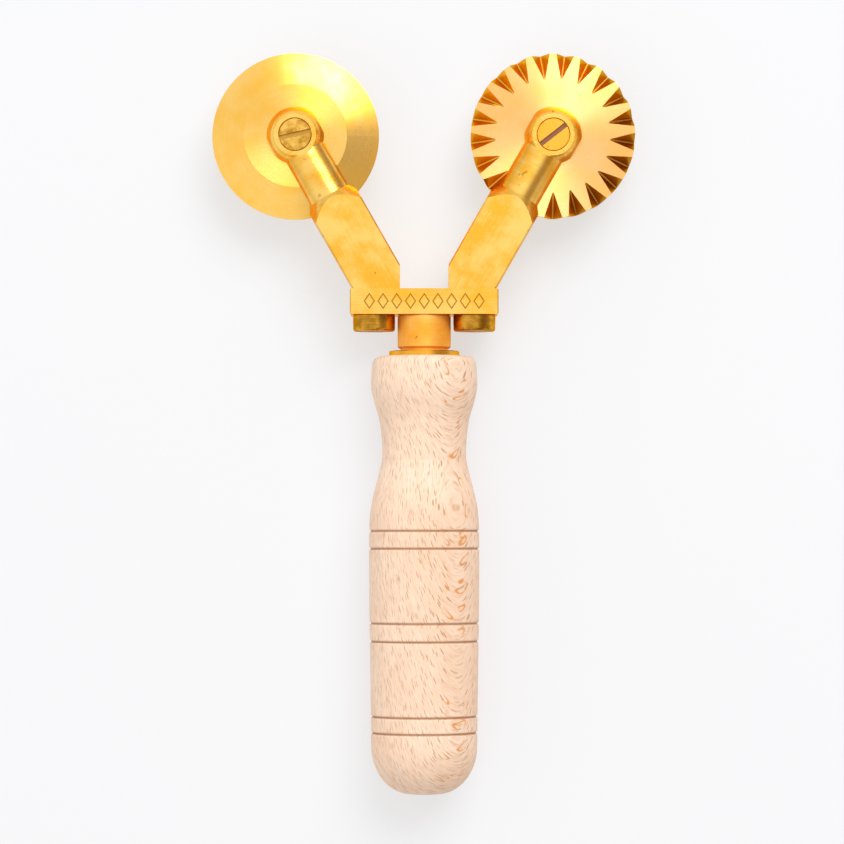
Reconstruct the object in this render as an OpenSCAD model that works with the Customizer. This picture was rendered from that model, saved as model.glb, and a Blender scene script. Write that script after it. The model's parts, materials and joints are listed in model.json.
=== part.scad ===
// Twin pastry cutter wheel: a turned wooden handle, a brass head with two leaning forks,
// and a smooth and a fluted cutting wheel that turn freely in the forks.
// Millimetres. X runs across the tool, +Y along it towards the wheels, +Z is up as it lies on a table.
// The origin is on the table, under the middle of the tool.

/* [Wheels] */
// Diameter of the smooth wheel
smooth_d = 38; // [34:0.1:38.4]
// Diameter of the fluted wheel
fluted_d = 37.4; // [34:0.1:38.4]
// Thickness of both wheels at the hub
wheel_t = 4.8; // [4:0.1:5.2]
// Diameter of the flat middle of the smooth wheel
smooth_flat_d = 23.5; // [20:0.1:28]
// Width of the smooth wheel's cutting edge
edge_t = 0.3; // [0.2:0.05:0.6]
// Number of flutes on each face of the fluted wheel
flutes = 21; // [16:1:24]
// Diameter of the circle on which the flutes begin
flute_start_d = 26; // [22:0.5:28]
// Depth of a flute at the rim
flute_depth = 4; // [2:0.1:4.2]
// Angle of the cutter that makes the flutes
flute_angle = 72; // [60:1:76]

/* [Forks] */
// Distance from the tool's axis to a wheel's axle
axle_x = 29.3; // [28.5:0.1:30]
// Lean of each fork from the tool's axis
lean = 29.7; // [29:0.1:30.5]
// Side of the square bar that the forks are made of
bar_side = 12; // [11:0.5:13]
// Diameter of the ball at the end of a fork
ball_d = 14; // [13.6:0.1:14.6]
// Diameter of the neck below the ball
neck_d = 10.9; // [10:0.1:11.4]
// Diameter of the flat milled round the axle on a fork's front
spot_d = 10; // [9:0.1:10.4]
// Distance from the axle to the end of the neck
neck_l = 15.7; // [14:0.1:16.5]
// Side clearance of a wheel in its fork
side_gap = 0.15; // [0.1:0.05:0.3]
// Chamfer along the fork's long edges
bar_chamfer = 0.3; // [0.1:0.1:0.6]

/* [Screws] */
// Diameter of an axle screw's head
axle_head_d = 7.4; // [6.5:0.1:7.6]
// Diameter of an axle screw's shank
axle_d = 4; // [3.5:0.5:4.5]
// Radial running clearance of a wheel on its axle
running_gap = 0.05; // [0.02:0.01:0.1]
// Thread diameter of the screws that hold the forks
fork_screw_d = 6; // [5:1:6]
// Head diameter of the screws that hold the forks
fork_head_d = 9.6; // [9:0.1:10]
// Head height of the screws that hold the forks
fork_head_h = 3.7; // [3:0.1:4]

/* [Crossbar and stem] */
// Length of the crossbar
crossbar_l = 33.6; // [33:0.1:36]
// Thickness of the crossbar along the tool
crossbar_t = 5.8; // [5:0.1:8]
// Distance from the axle line to the crossbar's top
crossbar_drop = 35; // [33.5:0.5:36]
// Diameter of the stem
stem_d = 12.1; // [11:0.1:12.5]
// Length of the stem between the crossbar and the handle washer
stem_l = 8.2; // [7:0.1:12]
// Diameter of the handle washer
washer_d = 16; // [14:0.5:19]
// Thickness of the handle washer
washer_t = 1.2; // [0.8:0.1:2]

/* [Handle] */
// Length of the handle
handle_l = 99.3; // [95:0.1:110]
// Largest diameter of the handle
handle_d = 25; // [23:0.1:27]
// Diameter of the handle's waist
waist_d = 19; // [17:0.1:21]
// Depth of the grooves turned in the handle
groove_depth = 0.45; // [0.3:0.05:0.7]
// Width of the grooves turned in the handle
groove_w = 0.7; // [0.5:0.05:1]

/* [Hidden] */
$fn = 96;
tiny = 0.01;
far = 60;
brass = "#e0b24a";
brass_dark = "#c9973a";
beech = "#ecc9a6";
steel = "#b8bbc0";

// Places along the tool, measured from the axle line towards the handle's end
crossbar_end = crossbar_drop + crossbar_t;
washer_top = crossbar_end + stem_l;
handle_top = washer_top + washer_t;
tool_end = handle_top + handle_l;
axle_y = (tool_end - smooth_d / 2) / 2;
axis_z = handle_d / 2;

// Wheels and forks
wheel_half = wheel_t / 2;
slot_w = wheel_t + 2 * side_gap;
slot_depth = smooth_d / 2 + 0.8;
bore_d = axle_d + 2 * running_gap;
cone_angle = 34;
body_r = bar_side * 0.75;
cone_l = (body_r - neck_d / 2) / tan(cone_angle);
inner_cut_x = 5.55;

// Axle screws: the head sits in a counterbore, the thread is in the rear ear
head_gap = 0.12;
fit_gap = 0.02;
spot_z = 5.1;
head_seat_z = 3.5;
head_top_z = 5.05;
axle_thread_d = 3.5;
axle_thread_pitch = 0.6;
axle_slot_w = 1.1;
axle_slot_depth = 0.8;
smooth_slot_turn = 13;
fluted_slot_turn = 38;

// Fork screws and the stem's threads
fork_screw_x = 11.4;
fork_screw_grip = 8;
fork_screw_pitch = 1;
fork_slot_w = 1.6;
fork_slot_depth = 1.6;
spigot_d = 8;
spigot_pitch = 1.25;
stud_d = 6;
stud_in_stem = 5;
stud_in_handle = 40;
wood_thread_pitch = 2.5;
thread_depth_ratio = 0.55;

// Engraved band on the crossbar's front face
lozenge_count = 9;
lozenge_pitch = 3.1;
lozenge_w = 2.6;
lozenge_h = 3.8;
engraving_w = 0.35;
engraving_depth = 0.3;

// Handle outline: distance from the top and radius, joined by a smooth curve
top_round_r = 1.8;
top_round_l = 2.4;
end_round_l = 11;
end_flat_r = 3.2;
body_knots = [
    [top_round_l, handle_d / 2 - 0.6],
    [6.2, handle_d / 2 - 0.38],
    [10.2, handle_d / 2 - 1.05],
    [14.7, waist_d / 2 + 0.65],
    [22.4, waist_d / 2],
    [27.3, waist_d / 2 + 0.95],
    [32.9, handle_d / 2 - 0.65],
    [37.5, handle_d / 2 - 0.08],
    [51, handle_d / 2],
    [66, handle_d / 2 - 0.17],
    [handle_l - end_round_l, handle_d / 2 - 0.43],
];
groove_places = [39.7, 43.7, 60.6, 64.7, 81.7, 85.4];
profile_step = 1.5;
arc_steps = 9;

// Slope of the handle's outline at a knot: level at an end, a crest or a waist
function is_turn(k, i) =
    (k[i][1] - k[i - 1][1]) * (k[i + 1][1] - k[i][1]) <= 0;
function knot_slope(k, i) =
    i == 0 || i == len(k) - 1 || is_turn(k, i) ? 0
    : (k[i + 1][1] - k[i - 1][1]) / (k[i + 1][0] - k[i - 1][0]);
function hermite(a, b, slope_a, slope_b, t) =
    (2 * pow(t, 3) - 3 * t * t + 1) * a[1]
    + (pow(t, 3) - 2 * t * t + t) * (b[0] - a[0]) * slope_a
    + (3 * t * t - 2 * pow(t, 3)) * b[1]
    + (pow(t, 3) - t * t) * (b[0] - a[0]) * slope_b;
function span(k, s, i = 0) =
    i >= len(k) - 2 || s <= k[i + 1][0] ? i : span(k, s, i + 1);
function outline_r(k, s) =
    let (i = span(k, s))
    hermite(
        k[i], k[i + 1], knot_slope(k, i), knot_slope(k, i + 1),
        (s - k[i][0]) / (k[i + 1][0] - k[i][0])
    );

// The handle's outline as [radius, distance from the top] points
function handle_outline() =
    let (
        first = body_knots[0],
        last = body_knots[len(body_knots) - 1],
        steps = ceil((last[0] - first[0]) / profile_step)
    )
    concat(
        [[0, 0]],
        [for (i = [0 : arc_steps - 1])
            let (a = 90 * i / arc_steps)
            [first[1] - top_round_r * (1 - sin(a)), top_round_l * (1 - cos(a))]],
        [for (i = [0 : steps])
            let (s = first[0] + (last[0] - first[0]) * i / steps)
            [outline_r(body_knots, s), s]],
        [for (i = [1 : arc_steps])
            let (a = 90 * i / arc_steps)
            [end_flat_r + (last[1] - end_flat_r) * cos(a), last[0] + end_round_l * sin(a)]],
        [[0, handle_l]]
    );

// A screw thread as a row of rings, from z = 0 to z = length
module thread(d, pitch, length) {
    rings = floor(length / pitch);
    root = d / 2 - thread_depth_ratio * pitch;
    ring = length / rings;
    rotate_extrude()
        polygon(concat(
            [[0, 0], [root, 0]],
            [for (i = [0 : rings - 1], p = [[root, 0.1], [d / 2, 0.45], [d / 2, 0.55], [root, 0.9]])
                [p[0], (i + p[1]) * ring]],
            [[root, length], [0, length]]
        ));
}

// A disc with chamfered edges, from z = 0 to z = h
module chamfered_disc(d, h, c) {
    rotate_extrude()
        polygon([
            [0, 0], [d / 2 - c, 0], [d / 2, c],
            [d / 2, h - c], [d / 2 - c, h], [0, h],
        ]);
}

// A rectangle with chamfered corners, centred
module chamfered_rect(w, h, c) {
    x = w / 2;
    y = h / 2;
    polygon([
        [x - c, -y], [x, c - y], [x, y - c], [x - c, y],
        [c - x, y], [-x, y - c], [-x, c - y], [c - x, -y],
    ]);
}

// Puts a shape drawn from z = 0 upwards on the tool's axis, pointing at the handle's end
module along_tool(x, from_axle) {
    translate([x, axle_y - from_axle, axis_z]) rotate([90, 0, 0]) children();
}

// Puts a shape drawn around the z axis on a wheel's axle; side is -1 for left and 1 for right
module on_axle(side) {
    translate([side * axle_x, axle_y, axis_z]) children();
}

module handle() {
    color(beech)
        along_tool(0, handle_top)
        difference() {
            rotate_extrude() polygon(handle_outline());
            for (s = groove_places)
                let (r = outline_r(body_knots, s))
                rotate_extrude()
                    polygon([
                        [r + 1, s - groove_w], [r + 1, s + groove_w],
                        [r - groove_depth, s + groove_w / 6], [r - groove_depth, s - groove_w / 6],
                    ]);
            translate([0, 0, -tiny]) cylinder(d = stud_d + 2 * fit_gap, h = stud_in_handle + 1);
        }
}

module handle_washer() {
    color(brass)
        along_tool(0, washer_top)
        difference() {
            chamfered_disc(washer_d, washer_t, 0.15);
            translate([0, 0, -1]) cylinder(d = stud_d + 0.4, h = washer_t + 2);
        }
}

// Machine thread in the stem, plain shank through the washer, coarse thread and point in the wood
module handle_stud() {
    point_l = 4;
    plain_l = washer_t + 1;
    coarse_l = stud_in_handle - point_l - 1;
    color(steel)
        along_tool(0, washer_top - stud_in_stem) {
            thread(stud_d, fork_screw_pitch, stud_in_stem);
            translate([0, 0, stud_in_stem]) cylinder(d = stud_d, h = plain_l);
            translate([0, 0, stud_in_stem + plain_l]) thread(stud_d, wood_thread_pitch, coarse_l);
            translate([0, 0, stud_in_stem + plain_l + coarse_l])
                cylinder(d1 = stud_d - 2 * thread_depth_ratio * wood_thread_pitch, d2 = 0.6, h = point_l);
        }
}

// Turned collar with a threaded spigot above and a recessed foot on the washer
module stem() {
    foot_l = 0.6;
    chamfer = 0.35;
    color(brass_dark)
        along_tool(0, crossbar_end) {
            difference() {
                union() {
                    chamfered_disc(stem_d, stem_l - foot_l, chamfer);
                    translate([0, 0, stem_l - foot_l - tiny]) cylinder(d = stem_d - 1.4, h = foot_l + tiny);
                }
                translate([0, 0, stem_l - stud_in_stem - 0.2])
                    cylinder(d = stud_d + 2 * fit_gap, h = stud_in_stem + 1);
            }
            translate([0, 0, tiny]) mirror([0, 0, 1]) thread(spigot_d, spigot_pitch, crossbar_t - 0.2);
        }
}

// The band of outlined lozenges, as one flat shape
module lozenge_band() {
    inner = 1 - 2 * engraving_w / lozenge_w;
    outline = [[lozenge_w / 2, 0], [0, lozenge_h / 2], [-lozenge_w / 2, 0], [0, -lozenge_h / 2]];
    for (i = [0 : lozenge_count - 1])
        translate([(i - (lozenge_count - 1) / 2) * lozenge_pitch, 0])
        difference() {
            polygon(outline);
            polygon(outline * inner);
        }
}

module crossbar() {
    chamfer = 0.25;
    color(brass)
        translate([0, axle_y - crossbar_drop - crossbar_t / 2, axis_z])
        difference() {
            intersection() {
                linear_extrude(bar_side, center = true) chamfered_rect(crossbar_l, crossbar_t, chamfer);
                rotate([90, 0, 0])
                    linear_extrude(crossbar_t, center = true) chamfered_rect(crossbar_l, bar_side, chamfer);
            }
            for (x = [-fork_screw_x, fork_screw_x])
                translate([x, 0, 0]) rotate([90, 0, 0])
                    cylinder(d = fork_screw_d + 0.4, h = crossbar_t + 2, center = true);
            rotate([90, 0, 0]) cylinder(d = spigot_d + 2 * fit_gap, h = crossbar_t + 2, center = true);
            translate([0, 0, bar_side / 2 - engraving_depth])
                linear_extrude(1) lozenge_band();
        }
}

// The fork for the left side. Its blank is drawn along z from the axle, then laid down and leaned.
module left_arm() {
    blank_l = 48;
    difference() {
        intersection() {
            on_axle(-1) rotate([0, 0, lean]) rotate([90, 0, 0])
                intersection() {
                    union() {
                        sphere(d = ball_d);
                        cylinder(d = neck_d, h = neck_l + tiny);
                        translate([0, 0, neck_l]) cylinder(r1 = neck_d / 2, r2 = body_r, h = cone_l);
                        translate([0, 0, neck_l + cone_l - tiny]) cylinder(r = body_r, h = blank_l - neck_l - cone_l);
                    }
                    translate([0, 0, -ball_d])
                        linear_extrude(blank_l + ball_d) chamfered_rect(bar_side, bar_side, bar_chamfer);
                }
            translate([-inner_cut_x - far, axle_y - crossbar_drop, 0]) cube([far, far, far]);
        }
        on_axle(-1) rotate([0, 0, lean]) {
            translate([-far / 2, -slot_depth, -slot_w / 2]) cube([far, far, slot_w]);
            translate([0, 0, slot_w / 2 - 1]) cylinder(d = bore_d, h = far);
            translate([0, 0, spot_z]) cylinder(d = spot_d, h = far);
            translate([0, 0, head_seat_z]) cylinder(d = axle_head_d + 2 * head_gap, h = far);
            translate([0, 0, -far / 2]) cylinder(d = axle_thread_d + 2 * fit_gap, h = far / 2);
        }
        along_tool(-fork_screw_x, crossbar_drop - fork_screw_grip - 1)
            cylinder(d = fork_screw_d + 2 * fit_gap, h = fork_screw_grip + 2);
    }
}

module smooth_arm() {
    color(brass) left_arm();
}

module fluted_arm() {
    color(brass) mirror([1, 0, 0]) left_arm();
}

// Slotted cheese-head screw that comes up through the crossbar into a fork
module fork_screw(side) {
    edge_round = 0.6;
    color(brass_dark)
        along_tool(side * fork_screw_x, crossbar_end) {
            difference() {
                rotate_extrude()
                    polygon(concat(
                        [[0, 0], [fork_head_d / 2 - 0.15, 0], [fork_head_d / 2, 0.15]],
                        [for (i = [0 : arc_steps])
                            let (a = 90 * i / arc_steps)
                            [fork_head_d / 2 - edge_round * (1 - cos(a)), fork_head_h - edge_round * (1 - sin(a))]],
                        [[0, fork_head_h]]
                    ));
                translate([0, 0, fork_head_h]) cube([far, fork_slot_w, 2 * fork_slot_depth], center = true);
            }
            translate([0, 0, tiny]) mirror([0, 0, 1])
                thread(fork_screw_d, fork_screw_pitch, crossbar_t + fork_screw_grip);
        }
}

module smooth_arm_screw() {
    fork_screw(-1);
}

module fluted_arm_screw() {
    fork_screw(1);
}

module smooth_wheel() {
    color(brass)
        on_axle(-1)
        difference() {
            rotate_extrude($fn = 180)
                polygon([
                    [0, -wheel_half], [smooth_flat_d / 2, -wheel_half], [smooth_d / 2, -edge_t / 2],
                    [smooth_d / 2, edge_t / 2], [smooth_flat_d / 2, wheel_half], [0, wheel_half],
                ]);
            cylinder(d = bore_d, h = far, center = true);
        }
}

// One V cutter, sunk into the upper face along -y and deepening towards the rim
module flute_cutter() {
    run = (fluted_d - flute_start_d) / 2;
    tilt = atan(flute_depth / run);
    length = run / cos(tilt);
    over = 3;
    reach = 2 * flute_depth;
    half = reach * tan(flute_angle / 2);
    flat = 0.15;
    translate([0, -flute_start_d / 2, wheel_half])
        rotate([90 + tilt, 0, 0])
        linear_extrude(length + over)
        polygon([[-flat, 0], [flat, 0], [flat + half, reach / cos(tilt)], [-flat - half, reach / cos(tilt)]]);
}

module fluted_wheel() {
    pitch = 360 / flutes;
    color(brass_dark)
        on_axle(1)
        difference() {
            cylinder(d = fluted_d, h = wheel_t, center = true, $fn = 180);
            cylinder(d = bore_d, h = far, center = true);
            for (i = [0 : flutes - 1]) {
                rotate([0, 0, i * pitch]) flute_cutter();
                rotate([0, 0, (i + 0.5) * pitch]) mirror([0, 0, 1]) flute_cutter();
            }
        }
}

// Shoulder screw: slotted head in the front ear, plain shank through the wheel, thread in the rear ear
module axle_screw(side, slot_turn) {
    thread_l = bar_side / 2 - slot_w / 2 - 0.3;
    shank_l = head_seat_z + slot_w / 2;
    color(brass_dark)
        on_axle(side) {
            difference() {
                translate([0, 0, head_seat_z]) chamfered_disc(axle_head_d, head_top_z - head_seat_z, 0.12);
                translate([0, 0, head_top_z]) rotate([0, 0, slot_turn])
                    cube([far, axle_slot_w, 2 * axle_slot_depth], center = true);
            }
            translate([0, 0, -slot_w / 2]) cylinder(d = axle_d, h = shank_l + tiny);
            translate([0, 0, -slot_w / 2 + tiny]) mirror([0, 0, 1])
                thread(axle_thread_d, axle_thread_pitch, thread_l);
        }
}

module smooth_axle_screw() {
    axle_screw(-1, smooth_slot_turn);
}

module fluted_axle_screw() {
    axle_screw(1, fluted_slot_turn);
}

handle();
handle_washer();
handle_stud();
stem();
crossbar();
smooth_arm();
fluted_arm();
smooth_arm_screw();
fluted_arm_screw();
smooth_wheel();
fluted_wheel();
smooth_axle_screw();
fluted_axle_screw();
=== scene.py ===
"""Looks of the twin pastry cutter wheel: brass and beech materials, a table, soft light and the camera."""
import json
import math

import bpy
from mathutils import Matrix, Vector


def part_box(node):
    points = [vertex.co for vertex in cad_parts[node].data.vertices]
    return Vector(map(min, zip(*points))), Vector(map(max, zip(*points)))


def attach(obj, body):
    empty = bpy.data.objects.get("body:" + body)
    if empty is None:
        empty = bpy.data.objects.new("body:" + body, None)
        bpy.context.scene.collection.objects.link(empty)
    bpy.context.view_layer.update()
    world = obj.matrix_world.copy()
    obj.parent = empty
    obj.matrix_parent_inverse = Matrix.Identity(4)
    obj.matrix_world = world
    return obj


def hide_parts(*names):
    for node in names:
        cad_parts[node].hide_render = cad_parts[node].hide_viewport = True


MM = 0.001

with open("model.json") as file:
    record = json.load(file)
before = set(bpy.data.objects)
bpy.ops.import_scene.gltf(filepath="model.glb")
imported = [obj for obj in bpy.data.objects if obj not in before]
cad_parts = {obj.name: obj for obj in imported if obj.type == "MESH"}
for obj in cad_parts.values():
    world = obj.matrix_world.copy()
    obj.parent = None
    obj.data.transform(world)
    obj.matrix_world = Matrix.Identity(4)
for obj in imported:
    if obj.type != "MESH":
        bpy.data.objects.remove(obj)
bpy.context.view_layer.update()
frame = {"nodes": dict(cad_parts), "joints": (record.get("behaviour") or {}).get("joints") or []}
nodes = frame["nodes"]
joint_at = {joint["name"]: Vector(joint["pos_m"]) for joint in frame["joints"]}
smooth_axle = joint_at["smooth_wheel_spin"]
fluted_axle = joint_at["fluted_wheel_spin"]
axis_z = smooth_axle.z


# ---------------------------------------------------------------- camera
CAMERA_DISTANCE = 850 * MM
CAMERA_TILT = math.radians(1.6)
FRAME_WIDTH = 192 * MM
SENSOR = 36.0
CLIP_START = 50 * MM
AIM = Vector((-0.5 * MM, 0.15 * MM, axis_z))


def make_camera():
    """A long lens almost straight above the tool, leaning slightly to the handle's end."""
    data = bpy.data.cameras.new("camera")
    data.sensor_width = SENSOR
    data.lens = SENSOR * CAMERA_DISTANCE / FRAME_WIDTH
    data.clip_start = CLIP_START
    camera = bpy.data.objects.new("camera", data)
    bpy.context.scene.collection.objects.link(camera)
    camera.location = AIM + CAMERA_DISTANCE * Vector((0, -math.sin(CAMERA_TILT), math.cos(CAMERA_TILT)))
    camera.rotation_euler = (CAMERA_TILT, 0, 0)
    bpy.context.scene.camera = camera


# ---------------------------------------------------------------- node helpers
# The Mix node's sockets for colours, by number, because its sockets for other types share their names
MIX_COLOUR_A = 6
MIX_COLOUR_B = 7
MIX_COLOUR_RESULT = 2


class Shader:
    """A node tree under construction: short calls that add nodes and link them."""

    def __init__(self, tree):
        self.tree = tree
        self.tree.nodes.clear()

    def link(self, source, target):
        self.tree.links.new(source, target)

    def feed(self, socket, value):
        """Sets a socket to a plain value, or links it to another socket."""
        if isinstance(value, bpy.types.NodeSocket):
            self.link(value, socket)
        else:
            socket.default_value = value

    def math(self, operation, a, b=0.0):
        node = self.tree.nodes.new("ShaderNodeMath")
        node.operation = operation
        self.feed(node.inputs[0], a)
        self.feed(node.inputs[1], b)
        return node.outputs[0]

    def vector(self, operation, a, b=(0, 0, 0)):
        node = self.tree.nodes.new("ShaderNodeVectorMath")
        node.operation = operation
        self.feed(node.inputs[0], a)
        self.feed(node.inputs[1], b)
        return node.outputs["Value" if operation in ("DOT_PRODUCT", "LENGTH") else "Vector"]

    def combine(self, x, y, z):
        node = self.tree.nodes.new("ShaderNodeCombineXYZ")
        for socket, value in zip(node.inputs, (x, y, z)):
            self.feed(socket, value)
        return node.outputs[0]

    def separate(self, vector):
        node = self.tree.nodes.new("ShaderNodeSeparateXYZ")
        self.link(vector, node.inputs[0])
        return node.outputs[0], node.outputs[1], node.outputs[2]

    def noise(self, vector, scale=1.0, detail=2.0, roughness=0.5):
        node = self.tree.nodes.new("ShaderNodeTexNoise")
        self.link(vector, node.inputs["Vector"])
        node.inputs["Scale"].default_value = scale
        node.inputs["Detail"].default_value = detail
        node.inputs["Roughness"].default_value = roughness
        return node.outputs["Fac"]

    def ramp(self, fac, low, high, out_low=0.0, out_high=1.0):
        """A smooth step from out_low to out_high while fac goes from low to high."""
        node = self.tree.nodes.new("ShaderNodeMapRange")
        node.interpolation_type = "SMOOTHSTEP"
        self.feed(node.inputs["Value"], fac)
        for name, value in (("From Min", low), ("From Max", high), ("To Min", out_low), ("To Max", out_high)):
            node.inputs[name].default_value = value
        return node.outputs["Result"]

    def mix(self, fac, a, b):
        """Colour a where fac is 0, colour b where it is 1."""
        node = self.tree.nodes.new("ShaderNodeMix")
        node.data_type = "RGBA"
        self.feed(node.inputs["Factor"], fac)
        for socket, value in ((node.inputs[MIX_COLOUR_A], a), (node.inputs[MIX_COLOUR_B], b)):
            self.feed(socket, value if isinstance(value, bpy.types.NodeSocket) else (*value, 1.0))
        return node.outputs[MIX_COLOUR_RESULT]

    def blend(self, a, b, share):
        """The sum of two values, with share of the first and the rest of the second."""
        return self.math("ADD", self.math("MULTIPLY", a, share), self.math("MULTIPLY", b, 1 - share))

    def bump(self, height, distance, strength):
        node = self.tree.nodes.new("ShaderNodeBump")
        node.inputs["Strength"].default_value = strength
        node.inputs["Distance"].default_value = distance
        self.link(height, node.inputs["Height"])
        return node.outputs["Normal"]


class Surface(Shader):
    """A material with one surface shader; place is where on the object the shader is."""

    def __init__(self, name):
        self.material = bpy.data.materials.new(name)
        self.material.use_nodes = True
        super().__init__(self.material.node_tree)
        output = self.tree.nodes.new("ShaderNodeOutputMaterial")
        self.surface = self.tree.nodes.new("ShaderNodeBsdfPrincipled")
        self.link(self.surface.outputs["BSDF"], output.inputs["Surface"])
        self.place = self.tree.nodes.new("ShaderNodeTexCoord").outputs["Object"]

    def height(self):
        """How far above the table the shader is."""
        return self.separate(self.place)[2]

    def set(self, **values):
        """Feeds the surface shader's sockets; an underscore in a name stands for a space."""
        for name, value in values.items():
            self.feed(self.surface.inputs[name.replace("_", " ")], value)


# ---------------------------------------------------------------- tool marks
# Noise frequencies along a machined line and across it, per metre; RING_LONG counts on a circle of radius 1
MARK_LONG = 60
MARK_FINE = 6000
RING_LONG = 1.6
RING_FINE = 7000

# A fork's bar, and where its neck's marks change into the marks of the bar's flats
BAR_HALF = 6 * MM
FLAT_BLEND = (BAR_HALF - 0.2 * MM, BAR_HALF - 0.05 * MM)


def lines_across_tool(s):
    """Coordinates whose noise draws fine straight lines from side to side."""
    return s.vector("MULTIPLY", s.place, (MARK_LONG, MARK_FINE, MARK_FINE))


def rings_along_tool(s, fine=MARK_FINE, coarse=2 * MARK_LONG):
    """Coordinates whose noise draws turning marks round the tool's own axis."""
    return s.vector("MULTIPLY", s.place, (coarse, fine, coarse))


def fork_marks(s, axle, along):
    """Coordinates whose noise draws turning marks on a fork's neck and straight marks on its bar."""
    side = along.cross(Vector((0, 0, 1)))
    out = s.vector("SUBTRACT", s.place, tuple(axle))
    run = s.vector("DOT_PRODUCT", out, tuple(along))
    across = s.vector("DOT_PRODUCT", out, tuple(side))
    up = s.separate(out)[2]
    reach = s.math("MAXIMUM", s.math("ABSOLUTE", across), s.math("ABSOLUTE", up))
    on_flat = s.ramp(reach, *FLAT_BLEND)
    run_scale = s.ramp(on_flat, 0.0, 1.0, MARK_FINE, MARK_LONG)
    side_scale = s.ramp(on_flat, 0.0, 1.0, MARK_LONG, MARK_FINE)
    return s.combine(
        s.math("MULTIPLY", run, run_scale),
        s.math("MULTIPLY", across, side_scale),
        s.math("MULTIPLY", up, side_scale),
    )


def rings_about(s, centre):
    """Coordinates whose noise draws turning marks round a wheel's axle."""
    x, y, _ = s.separate(s.vector("SUBTRACT", s.place, tuple(centre)))
    flat = s.combine(x, y, 0.0)
    round_x, round_y, _ = s.separate(s.vector("NORMALIZE", flat))
    return s.combine(
        s.math("MULTIPLY", s.vector("LENGTH", flat), RING_FINE),
        s.math("MULTIPLY", round_x, RING_LONG),
        s.math("MULTIPLY", round_y, RING_LONG),
    )


# ---------------------------------------------------------------- brass
BRASS = (0.99, 0.64, 0.16)
BRASS_DEEP = (0.93, 0.45, 0.04)
BRASS_DULL = (0.90, 0.54, 0.11)
TURNED_BRASS = (0.98, 0.50, 0.11)
TURNED_BRASS_DEEP = (0.93, 0.38, 0.03)
WHEEL_BRASS = (0.99, 0.62, 0.165)
WHEEL_BRASS_DEEP = (0.97, 0.535, 0.08)
FACE_BRASS = (1.0, 0.61, 0.235)
FACE_BRASS_DEEP = (0.98, 0.54, 0.15)
GRAZING_BRASS = (1.0, 0.60, 0.22)
TARNISHED = (0.78, 0.40, 0.05)
TARNISHED_DEEP = (0.40, 0.18, 0.015)
# Flute colours are painted shade: darker deeper in the flutes, darkest on one side of the wheel
FLUTE_BRASS = (0.86, 0.47, 0.03)
FLUTE_DEEP_SHADE = (0.78, 0.39, 0.018)
FLUTE_SIDE_SHADE = (0.42, 0.18, 0.012)
# Slot colours are painted shade in the axle screws' slots, the lighter one for the left screw
SLOT_DEEP_SHADE = (0.16, 0.055, 0.065)
SLOT_LIGHT_SHADE = (0.50, 0.26, 0.05)

# Sizes of the noises, per metre, and where in them the tarnish and the pits begin and end
CLOUD_SCALE = 110
CLOUD_BAND = 0.14
GRAIN_SCALE = 1100
PIT_SCALE = 700
PIT_BAND = (0.66, 0.74)
PIT_PATCH_SCALE = 160
PIT_PATCH_BAND = (0.5, 0.62)
DULLED_BAND = (0.3, 0.7)

# Shares of the clouds in the colour and of the machined lines in the relief
CLOUD_SHARE = 0.75
LINE_SHARE = 0.75
MARK_HEIGHT = 0.02 * MM

# Roughness of the brightest places as a share of the dullest, and what the grain adds
POLISHED = 0.7
GRAIN_ROUGHNESS = 0.08

# The tangent runs round the axle, and a quarter turn points the stretched highlights outwards
QUARTER_TURN = 0.25

# A darker colour in cut marks, painted shade in the flutes and the screws' slots: how soft its edge is and
# how far it covers the brass; then the side of the fluted wheel whose flutes get more painted shade, and how
# far that covers
RECESS_EDGE = 0.07 * MM
RECESS_COVER = 0.85
SHADED_SIDE = Vector((0.94, -0.34, 0))
SIDE_SHADE_COVER = 0.9


def engraving(low, high, dark):
    """A darker colour in marks cut between two heights; in the screws' slots it is painted shade."""
    def paint(s, colour):
        height = s.height()
        under = s.ramp(height, high - RECESS_EDGE, high, RECESS_COVER, 0.0)
        return s.mix(s.math("MULTIPLY", under, s.ramp(height, low - RECESS_EDGE, low)), colour, dark)
    return paint


def flutes(middle, half, centre, radius):
    """Painted shade in the flutes between a wheel's faces: darker deeper in, and darker still on one side of
    the wheel.
    """
    def paint(s, colour):
        height = s.math("ABSOLUTE", s.math("SUBTRACT", s.height(), middle))
        tone = s.mix(s.ramp(height, 0.0, half, 1.0, 0.0), FLUTE_BRASS, FLUTE_DEEP_SHADE)
        # More painted shade in the flutes towards one side of the wheel
        side = s.vector("DOT_PRODUCT", s.vector("SUBTRACT", s.place, tuple(centre)), tuple(SHADED_SIDE))
        tone = s.mix(s.ramp(side, 0.0, radius, 0.0, SIDE_SHADE_COVER), tone, FLUTE_SIDE_SHADE)
        under = s.ramp(height, half - 2 * RECESS_EDGE, half - RECESS_EDGE, RECESS_COVER, 0.0)
        return s.mix(under, colour, tone)
    return paint


def pitted(s, colour, amount):
    """Small dark pits, gathered in patches."""
    spots = s.ramp(s.noise(s.place, PIT_SCALE), *PIT_BAND)
    patches = s.ramp(s.noise(s.place, PIT_PATCH_SCALE), *PIT_PATCH_BAND)
    dirt = s.math("MULTIPLY", s.math("MULTIPLY", spots, patches), amount)
    return s.mix(dirt, colour, TARNISHED_DEEP)


def brushed_round(s, amount):
    """Highlights that run out from the axle, across a wheel's turning marks."""
    tangent = s.tree.nodes.new("ShaderNodeTangent")
    tangent.direction_type = "RADIAL"
    tangent.axis = "Z"
    s.set(Anisotropic=amount, Anisotropic_Rotation=QUARTER_TURN, Tangent=tangent.outputs[0])


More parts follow.
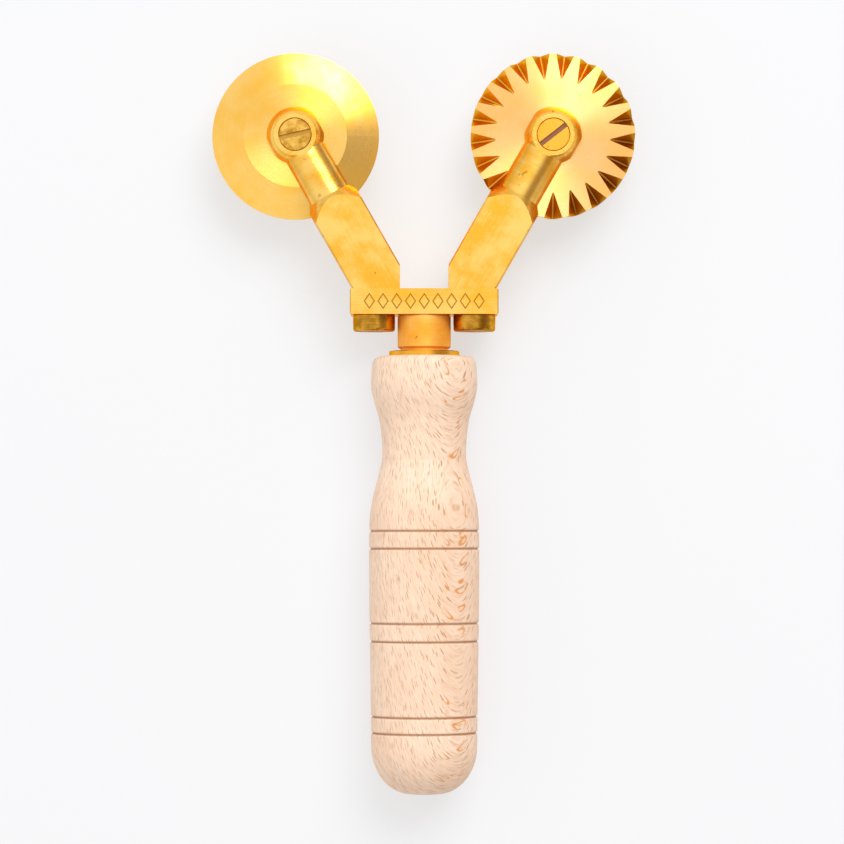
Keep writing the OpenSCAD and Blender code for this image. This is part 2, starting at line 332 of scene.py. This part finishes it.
def brass(name, light, deep, marks, roughness, mark_depth=0.5, pits=0.0, contrast=1.0, cloud=CLOUD_SCALE,
          anisotropy=0.0, metallic=1.0, recess=None):
    """Brass with tarnish clouds and tool marks; recess paints over the colour in cut marks."""
    s = Surface(name)
    clouds = s.noise(s.place, cloud, detail=4, roughness=0.6)
    grain = s.noise(s.place, GRAIN_SCALE, detail=3, roughness=0.6)
    lines = s.noise(marks(s), detail=3, roughness=0.6)
    band = CLOUD_BAND / contrast
    colour = s.mix(s.ramp(s.blend(clouds, lines, CLOUD_SHARE), 0.5 - band, 0.5 + band), light, deep)
    if pits:
        colour = pitted(s, colour, pits)
    if recess is not None:
        colour = recess(s, colour)
    dulled = s.ramp(clouds, *DULLED_BAND, POLISHED * roughness, roughness)
    s.set(
        Base_Color=colour,
        Metallic=metallic,
        Roughness=s.math("ADD", dulled, s.math("MULTIPLY", grain, GRAIN_ROUGHNESS)),
        Specular_Tint=(*GRAZING_BRASS, 1.0),
        Normal=s.bump(s.blend(lines, grain, LINE_SHARE), MARK_HEIGHT, mark_depth),
    )
    if anisotropy:
        brushed_round(s, anisotropy)
    return s.material


# ---------------------------------------------------------------- steel
STEEL_LIGHT = (0.62, 0.62, 0.63)
STEEL_DARK = (0.5, 0.5, 0.52)
STEEL_SCALE = 1200
STEEL_BAND = (0.3, 0.7)
STEEL_ROUGHNESS = (0.3, 0.45)
STEEL_RELIEF = 0.4


def steel(name):
    """Plain bright steel with a fine grain."""
    s = Surface(name)
    grain = s.noise(s.place, STEEL_SCALE, detail=3, roughness=0.6)
    s.set(
        Base_Color=s.mix(grain, STEEL_LIGHT, STEEL_DARK),
        Metallic=1.0,
        Roughness=s.ramp(grain, *STEEL_BAND, *STEEL_ROUGHNESS),
        Normal=s.bump(grain, MARK_HEIGHT, STEEL_RELIEF),
    )
    return s.material


# ---------------------------------------------------------------- beech
WOOD_PALE = (0.91, 0.70, 0.54)
WOOD_PINK = (0.88, 0.635, 0.47)
WOOD_FIBRE = (0.74, 0.46, 0.29)
FLECK_BROWN = (0.50, 0.26, 0.12)
FLECK_ORANGE = (0.74, 0.28, 0.05)
GROOVE_BROWN = (0.42, 0.20, 0.10)

# The growth rings as planes: their normal, the way across the grain in them, and the grain
RING_TURN = math.radians(37)
RING_DIP = math.radians(10)
RING_NORMAL = Vector((
    math.sin(RING_TURN) * math.cos(RING_DIP),
    math.sin(RING_DIP),
    math.cos(RING_TURN) * math.cos(RING_DIP),
))
RING_ACROSS = Vector((0, 1, 0)).cross(RING_NORMAL).normalized()
GRAIN_ALONG = RING_NORMAL.cross(RING_ACROSS)
WANDER_SCALE = 40
WANDER = 0.6 * MM

# Cells that hold one lens each: depth through the rings, width across the grain, length along it
RAY_CELL = (0.19 * MM, 5.6 * MM, 3.4 * MM)
FINE_RAY_CELL = (0.13 * MM, 3.4 * MM, 2.2 * MM)
EYE_CELL = (0.6 * MM, 7.0 * MM, 6.0 * MM)
FIBRE_CELL = (0.13 * MM, 3 * MM, 6 * MM)
EYE_SCATTER = 0.6

# Where a lens fades, as distances from its middle in cells; an eye is a ring between two distances
RAY_EDGE = (0.20, 0.30)
FINE_RAY_EDGE = (0.18, 0.36)
EYE_INNER = (0.21, 0.25)
EYE_OUTER = (0.30, 0.345)

# Eyes show, and rays fade, where the turned surface nearly lies in a growth ring
EYES_FROM = (0.93, 0.97)
RAYS_FADE = (0.965, 0.984)
BREAK_SCALE = 360
BREAK_BAND = (0.36, 0.46)

# How much each feature covers the colour under it, and where in the noises the soft ones begin and end
PATCH_SCALE = 60
PATCH_BAND = (0.35, 0.65)
FIBRE_BAND = (0.40, 0.72)
FIBRE_COVER = 0.6
FINE_RAY_COVER = 0.6
RAY_COVER = 0.85
FADED_RAY_COVER = 0.35
EYE_COVER = 0.85

TURNING_FINE = 3500
TURNING_LONG = 30
GRAIN_HEIGHT = 0.3
RAY_DIP = 0.6
WOOD_HEIGHT = 0.05 * MM
WOOD_RELIEF = 0.6
WOOD_ROUGHNESS = (0.5, 0.65)


def wood_place(s):
    """A place in the wood: depth through the wandering rings, width across the grain, run along it."""
    wander = s.math("MULTIPLY", s.noise(s.place, WANDER_SCALE, detail=1), WANDER)
    depth = s.math("ADD", s.vector("DOT_PRODUCT", s.place, tuple(RING_NORMAL)), wander)
    width = s.vector("DOT_PRODUCT", s.place, tuple(RING_ACROSS))
    run = s.vector("DOT_PRODUCT", s.place, tuple(GRAIN_ALONG))
    return depth, width, run


def in_cells(s, place, cell):
    """A place in the wood, counted in cells of the given depth, width and length."""
    return s.combine(*(s.math("DIVIDE", a, b) for a, b in zip(place, cell)))


def lens_distance(s, place, cell, scatter=1.0):
    """Distance from thin lenses strewn through the wood, one in each cell."""
    node = s.tree.nodes.new("ShaderNodeTexVoronoi")
    s.link(in_cells(s, place, cell), node.inputs["Vector"])
    node.inputs["Scale"].default_value = 1.0
    node.inputs["Randomness"].default_value = scatter
    return node.outputs["Distance"]


def ring_facing(s):
    """How squarely the turned surface faces along the rings' normal, 1 at most."""
    x, _, z = s.separate(s.place)
    outward = s.vector("NORMALIZE", s.combine(x, 0.0, s.math("SUBTRACT", z, axis_z)))
    return s.vector("DOT_PRODUCT", outward, tuple(RING_NORMAL))


def eye_rings(s, place, facing):
    """Broken rings where the surface cuts a growth ring at a slant."""
    eye = lens_distance(s, place, EYE_CELL, EYE_SCATTER)
    rings = s.math("MULTIPLY", s.ramp(eye, *EYE_INNER), s.ramp(eye, *EYE_OUTER, 1.0, 0.0))
    broken = s.ramp(s.noise(s.place, BREAK_SCALE, detail=1), *BREAK_BAND)
    return s.math("MULTIPLY", rings, s.math("MULTIPLY", s.ramp(facing, *EYES_FROM), broken))


def groove_dirt(s, fibre):
    """The dark line in the handle's grooves, from the mesh's own groove values."""
    node = s.tree.nodes.new("ShaderNodeAttribute")
    node.attribute_name = GROOVE_ATTRIBUTE
    return s.math("MULTIPLY", node.outputs["Fac"], s.ramp(fibre, 0.2, 0.8, 0.95, 0.75))


def beech(name):
    """Beech cut from the solid: rays and ring edges lie in planes that the turned surface cuts."""
    s = Surface(name)
    place = wood_place(s)
    facing = ring_facing(s)
    rays = s.ramp(lens_distance(s, place, RAY_CELL), *RAY_EDGE, 1.0, 0.0)
    fine_rays = s.ramp(lens_distance(s, place, FINE_RAY_CELL), *FINE_RAY_EDGE, 1.0, 0.0)
    ray_cover = s.ramp(facing, *RAYS_FADE, RAY_COVER, FADED_RAY_COVER)
    fibre = s.noise(in_cells(s, place, FIBRE_CELL), detail=3, roughness=0.65)
    patches = s.noise(s.place, PATCH_SCALE, detail=3, roughness=0.55)
    colour = s.mix(s.ramp(patches, *PATCH_BAND), WOOD_PALE, WOOD_PINK)
    colour = s.mix(s.ramp(fibre, *FIBRE_BAND, 0.0, FIBRE_COVER), colour, WOOD_FIBRE)
    colour = s.mix(s.math("MULTIPLY", fine_rays, FINE_RAY_COVER), colour, WOOD_FIBRE)
    colour = s.mix(s.math("MULTIPLY", rays, ray_cover), colour, FLECK_BROWN)
    colour = s.mix(s.math("MULTIPLY", eye_rings(s, place, facing), EYE_COVER), colour, FLECK_ORANGE)
    turning = s.noise(rings_along_tool(s, TURNING_FINE, TURNING_LONG), roughness=0.6)
    grain = s.math("MULTIPLY", s.math("ADD", fibre, turning), GRAIN_HEIGHT)
    relief = s.math("SUBTRACT", grain, s.math("MULTIPLY", rays, RAY_DIP))
    s.set(
        Base_Color=s.mix(groove_dirt(s, fibre), colour, GROOVE_BROWN),
        Roughness=s.ramp(fibre, 0.3, 0.7, *WOOD_ROUGHNESS),
        Specular_IOR_Level=0.3,
        Normal=s.bump(relief, WOOD_HEIGHT, WOOD_RELIEF),
    )
    return s.material


# ---------------------------------------------------------------- handle
LATHE_SIDES = 160
CRISP_ANGLE = math.radians(50)

# Steps along the tool, fine near the ends and the grooves
COARSE_STEP = 0.6 * MM
FINE_STEP = 0.12 * MM
FINE_ENDS = 4 * MM
FINE_GROOVE = 1.2 * MM

# Widths of the bell curves that round the grooves' lips and that smooth the grooves away
LIP_BLUR = 0.12 * MM
WIDE_BLUR = 1.6 * MM
BLUR_STEPS = 6
BLUR_STEPS_PER_WIDTH = 2.5

# The bore: rings this close to its radius belong to it, except in the round end; its floor is further up
BORE_SLACK = 1.05
ROUND_END = 5 * MM
FLOOR_FROM = 20 * MM

# Grooves: how deep one is at least, how far from the ends it is, and how depth turns into a dark line
GROOVE_ATTRIBUTE = "groove"
GROOVE_SIGN = 0.2 * MM
GROOVES_FROM = 12 * MM
PLAIN_TOP = 4 * MM
SHADE_FROM = 0.08 * MM
SHADE_OVER = 0.2 * MM


def cad_outline(node):
    """The CAD handle's outline, from its own vertices: radius at each place along the tool, and its bore."""
    rings = {}
    for vertex in nodes[node].data.vertices:
        radius = math.hypot(vertex.co.x, vertex.co.z - axis_z)
        rings.setdefault(round(vertex.co.y, 6), []).append(radius)
    places = sorted(rings)
    low = places[0]
    bore_r = min(rings[places[-1]])
    widest = {y: max(rings[y]) for y in places}
    outline = [(y, widest[y]) for y in places if widest[y] > bore_r * BORE_SLACK or y < low + ROUND_END]
    bore_end = min(y for y in places if y > low + FLOOR_FROM and min(rings[y]) < bore_r * BORE_SLACK)
    return outline, bore_r, bore_end


def outline_radius(outline, y):
    for (y0, r0), (y1, r1) in zip(outline, outline[1:]):
        if y0 <= y <= y1:
            return r0 + (r1 - r0) * (y - y0) / (y1 - y0)
    return outline[0][1] if y < outline[0][0] else outline[-1][1]


def blurred_radius(outline, y, blur):
    """The radius at y, averaged with its neighbours under a bell curve of the given width."""
    total = 0.0
    weight = 0.0
    for step in range(-BLUR_STEPS, BLUR_STEPS + 1):
        away = step / BLUR_STEPS_PER_WIDTH
        share = math.exp(-0.5 * away ** 2)
        total += share * outline_radius(outline, y + away * blur)
        weight += share
    return total / weight


def handle_profile(outline, bore_r, bore_end):
    """The lathe's profile as (place, radius, groove) from the round end up and down into the bore."""
    grooved = [y for y, r in outline if blurred_radius(outline, y, WIDE_BLUR) - r > GROOVE_SIGN]
    low = outline[0][0]
    high, top_r = outline[-1]
    profile = []
    y = low
    while y < high:
        inside = low + GROOVES_FROM < y < high - PLAIN_TOP
        radius = outline_radius(outline, y)
        groove = 0.0
        if inside:
            radius = blurred_radius(outline, y, LIP_BLUR)
            depth = blurred_radius(outline, y, WIDE_BLUR) - radius
            groove = min(max((depth - SHADE_FROM) / SHADE_OVER, 0.0), 1.0)
        profile.append((y, radius, groove))
        near_end = y < low + FINE_ENDS or y > high - FINE_ENDS
        near_groove = inside and any(abs(y - at) < FINE_GROOVE for at in grooved)
        y += FINE_STEP if near_end or near_groove else COARSE_STEP
    return profile + [(high, top_r, 0.0), (high, bore_r, 0.0), (bore_end, bore_r, 0.0)]


def lathe_mesh(name, profile):
    """A closed mesh turned about the tool's axis, with the profile's groove values on its points."""
    points = []
    shade = []
    for y, radius, groove in profile:
        for i in range(LATHE_SIDES):
            angle = 2 * math.pi * i / LATHE_SIDES
            points.append((radius * math.sin(angle), y, axis_z + radius * math.cos(angle)))
            shade.append(groove)
    last = (len(profile) - 1) * LATHE_SIDES
    faces = []
    for ring in range(0, last, LATHE_SIDES):
        for i in range(LATHE_SIDES):
            j = (i + 1) % LATHE_SIDES
            above = ring + LATHE_SIDES
            faces.append((ring + i, ring + j, above + j, above + i))
    faces.append(tuple(reversed(range(LATHE_SIDES))))
    faces.append(tuple(range(last, last + LATHE_SIDES)))
    mesh = bpy.data.meshes.new(name)
    mesh.from_pydata(points, [], faces)
    mesh.shade_smooth()
    attribute = mesh.attributes.new(GROOVE_ATTRIBUTE, "FLOAT", "POINT")
    attribute.data.foreach_set("value", shade)
    return mesh


def make_handle():
    """The turned handle as a fine lathe mesh on the CAD outline, its groove lips slightly rounded."""
    mesh = lathe_mesh("turned_handle", handle_profile(*cad_outline("handle")))
    mesh.materials.append(beech("beech"))
    handle = bpy.data.objects.new("turned_handle", mesh)
    bpy.context.scene.collection.objects.link(handle)
    split = handle.modifiers.new("crisp_edges", "EDGE_SPLIT")
    split.split_angle = CRISP_ANGLE
    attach(handle, "holder")
    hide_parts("handle")


# ---------------------------------------------------------------- CAD nodes
FORK_LEAN = math.radians(29.7)

# Heights below a top face between which the engraving is darker and the slots get painted shade
ENGRAVING_BAND = (0.4 * MM, 0.13 * MM)
SLOT_BAND = (2 * MM, 0.28 * MM)
WHEEL_BRUSHING = 0.75
# How far across the fluted wheel the painted shade on its one side grows
SIDE_SHADE_REACH = 0.9


def dress(node, material):
    mesh = nodes[node].data
    mesh.materials.clear()
    mesh.materials.append(material)


# A darker colour below a top face: painted shade in the screws' slots, darker engraving on the crossbar
def darker_below(top, band, dark):
    return engraving(top - band[0], top - band[1], dark)


def dress_mount():
    """The parts on the tool's own axis, from the handle's stud to the crossbar."""
    dress("handle_washer", brass(
        "washer_brass", BRASS_DEEP, TARNISHED, rings_along_tool, roughness=0.28, pits=0.5))
    dress("handle_stud", steel("stud_steel"))
    dress("stem", brass(
        "stem_brass", TURNED_BRASS, TURNED_BRASS_DEEP, rings_along_tool,
        roughness=0.55, pits=0.9, metallic=0.5))
    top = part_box("crossbar")[1].z
    dress("crossbar", brass(
        "crossbar_brass", BRASS, BRASS_DEEP, lines_across_tool,
        roughness=0.26, mark_depth=0.8, recess=darker_below(top, ENGRAVING_BAND, TARNISHED_DEEP)))


def dress_fork(name, side, axle):
    """One fork and the screw that holds it from below; side is -1 on the left and 1 on the right."""
    along = Vector((-side * math.sin(FORK_LEAN), -math.cos(FORK_LEAN), 0))
    dress(name + "_arm", brass(
        name + "_arm_brass", BRASS, BRASS_DEEP, lambda s: fork_marks(s, axle, along),
        roughness=0.24, pits=0.65, contrast=1.4))
    dress(name + "_arm_screw", brass(
        name + "_arm_screw_brass", TARNISHED, TARNISHED_DEEP, rings_along_tool,
        roughness=0.2, pits=0.8, cloud=330))


# The slot colour is painted shade in the screw's slot
def dress_axle_screw(name, axle, light, deep, slot):
    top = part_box(name)[1].z
    dress(name, brass(
        name + "_brass", light, deep, lambda s: rings_about(s, axle),
        roughness=0.3, mark_depth=0.9, pits=0.8, cloud=400, recess=darker_below(top, SLOT_BAND, slot)))


def dress_wheels():
    dress("smooth_wheel", brass(
        "smooth_wheel_brass", WHEEL_BRASS, WHEEL_BRASS_DEEP, lambda s: rings_about(s, smooth_axle),
        roughness=0.3, anisotropy=WHEEL_BRUSHING))
    back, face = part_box("fluted_wheel")
    middle = (back.z + face.z) / 2
    half = (face.z - back.z) / 2
    radius = (face.x - back.x) / 2
    dress("fluted_wheel", brass(
        "fluted_wheel_brass", FACE_BRASS, FACE_BRASS_DEEP, lambda s: rings_about(s, fluted_axle),
        roughness=0.33, anisotropy=WHEEL_BRUSHING,
        recess=flutes(middle, half, fluted_axle, SIDE_SHADE_REACH * radius)))


def dress_all():
    dress_mount()
    dress_fork("smooth", -1, smooth_axle)
    dress_fork("fluted", 1, fluted_axle)
    # Slot colours are painted shade: lighter in the left screw's slot, darker in the right one's
    dress_axle_screw("smooth_axle_screw", smooth_axle, BRASS_DULL, TARNISHED_DEEP, SLOT_LIGHT_SHADE)
    dress_axle_screw("fluted_axle_screw", fluted_axle, BRASS_DEEP, TARNISHED, SLOT_DEEP_SHADE)
    dress_wheels()


# ---------------------------------------------------------------- table and light
TABLE_HALF = 1500 * MM
TABLE_WHITE = (0.30, 0.305, 0.32, 1)
TABLE_GLOW = 0.575

ZENITH_LIGHT = 1.0
HORIZON_LIGHT = 0.72
HIGH_ENOUGH = 0.75
ROOM_WHITE = (1.0, 1.0, 1.0)
ROOM_WARM = (1.0, 0.80, 0.62)
WARM_BAND = (0.25, 0.85)
BACKDROP = (0.93, 0.93, 0.93)

# The dark side: where it begins and ends as the view leans to it, what is left of it beyond, and its light
DARK_SIDE = Vector((0.9, -0.44, 0))
DARK_FROM = (0.1, 0.65)
DARK_UNTIL = (0.72, 0.92)
DARK_LEFT = 0.3
DARK_LIGHT = 0.38

KEY_AZIMUTH = math.radians(22)
KEY_FROM_ZENITH = math.radians(38)
KEY_DISTANCE = 1700 * MM
KEY_SIZE = 1200 * MM
KEY_POWER = 17


def make_table():
    """A white table top that glows a little, so that it stays white under soft light."""
    mesh = bpy.data.meshes.new("table")
    corners = [(TABLE_HALF * x, TABLE_HALF * y, 0) for x, y in ((-1, -1), (1, -1), (1, 1), (-1, 1))]
    mesh.from_pydata(corners, [], [(0, 1, 2, 3)])
    table = bpy.data.objects.new("table", mesh)
    bpy.context.scene.collection.objects.link(table)
    s = Surface("table_white")
    s.set(
        Base_Color=TABLE_WHITE,
        Emission_Color=(*ROOM_WHITE, 1),
        Emission_Strength=TABLE_GLOW,
        Roughness=0.7,
        Specular_IOR_Level=0.2,
    )
    mesh.materials.append(s.material)


def make_world():
    """A pale room: brightest overhead, dimmer near the horizon and darkest half way down one side."""
    world = bpy.data.worlds.new("studio")
    bpy.context.scene.world = world
    world.use_nodes = True
    tree = world.node_tree
    s = Shader(tree)
    direction = tree.nodes.new("ShaderNodeTexCoord").outputs["Generated"]
    overhead = s.ramp(s.separate(direction)[2], 0.0, HIGH_ENOUGH, HORIZON_LIGHT, ZENITH_LIGHT)
    lean = s.vector("DOT_PRODUCT", direction, tuple(DARK_SIDE))
    dark = s.math("MULTIPLY", s.ramp(lean, *DARK_FROM), s.ramp(lean, *DARK_UNTIL, 1.0, DARK_LEFT))
    strength = s.math("MULTIPLY", overhead, s.ramp(dark, 0.0, 1.0, 1.0, DARK_LIGHT))
    warmth = s.mix(s.ramp(strength, *WARM_BAND), ROOM_WARM, ROOM_WHITE)
    lit = s.vector("MULTIPLY", warmth, s.combine(strength, strength, strength))
    seen = tree.nodes.new("ShaderNodeLightPath").outputs["Is Camera Ray"]
    background = tree.nodes.new("ShaderNodeBackground")
    output = tree.nodes.new("ShaderNodeOutputWorld")
    s.link(s.mix(seen, lit, BACKDROP), background.inputs["Color"])
    s.link(background.outputs[0], output.inputs["Surface"])


def make_key_light():
    """A round soft box aimed at the tool; its azimuth runs clockwise from the wheels, seen from above."""
    data = bpy.data.lights.new("key", "AREA")
    data.shape = "DISK"
    data.size = KEY_SIZE
    data.energy = KEY_POWER
    light = bpy.data.objects.new("key", data)
    bpy.context.scene.collection.objects.link(light)
    level = math.sin(KEY_FROM_ZENITH)
    light.location = KEY_DISTANCE * Vector((
        level * math.sin(KEY_AZIMUTH),
        level * math.cos(KEY_AZIMUTH),
        math.cos(KEY_FROM_ZENITH),
    ))
    light.rotation_euler = (-light.location).to_track_quat("-Z", "Y").to_euler()


make_camera()
make_handle()
dress_all()
make_table()
make_world()
make_key_light()
bpy.context.scene.view_settings.view_transform = "Standard"
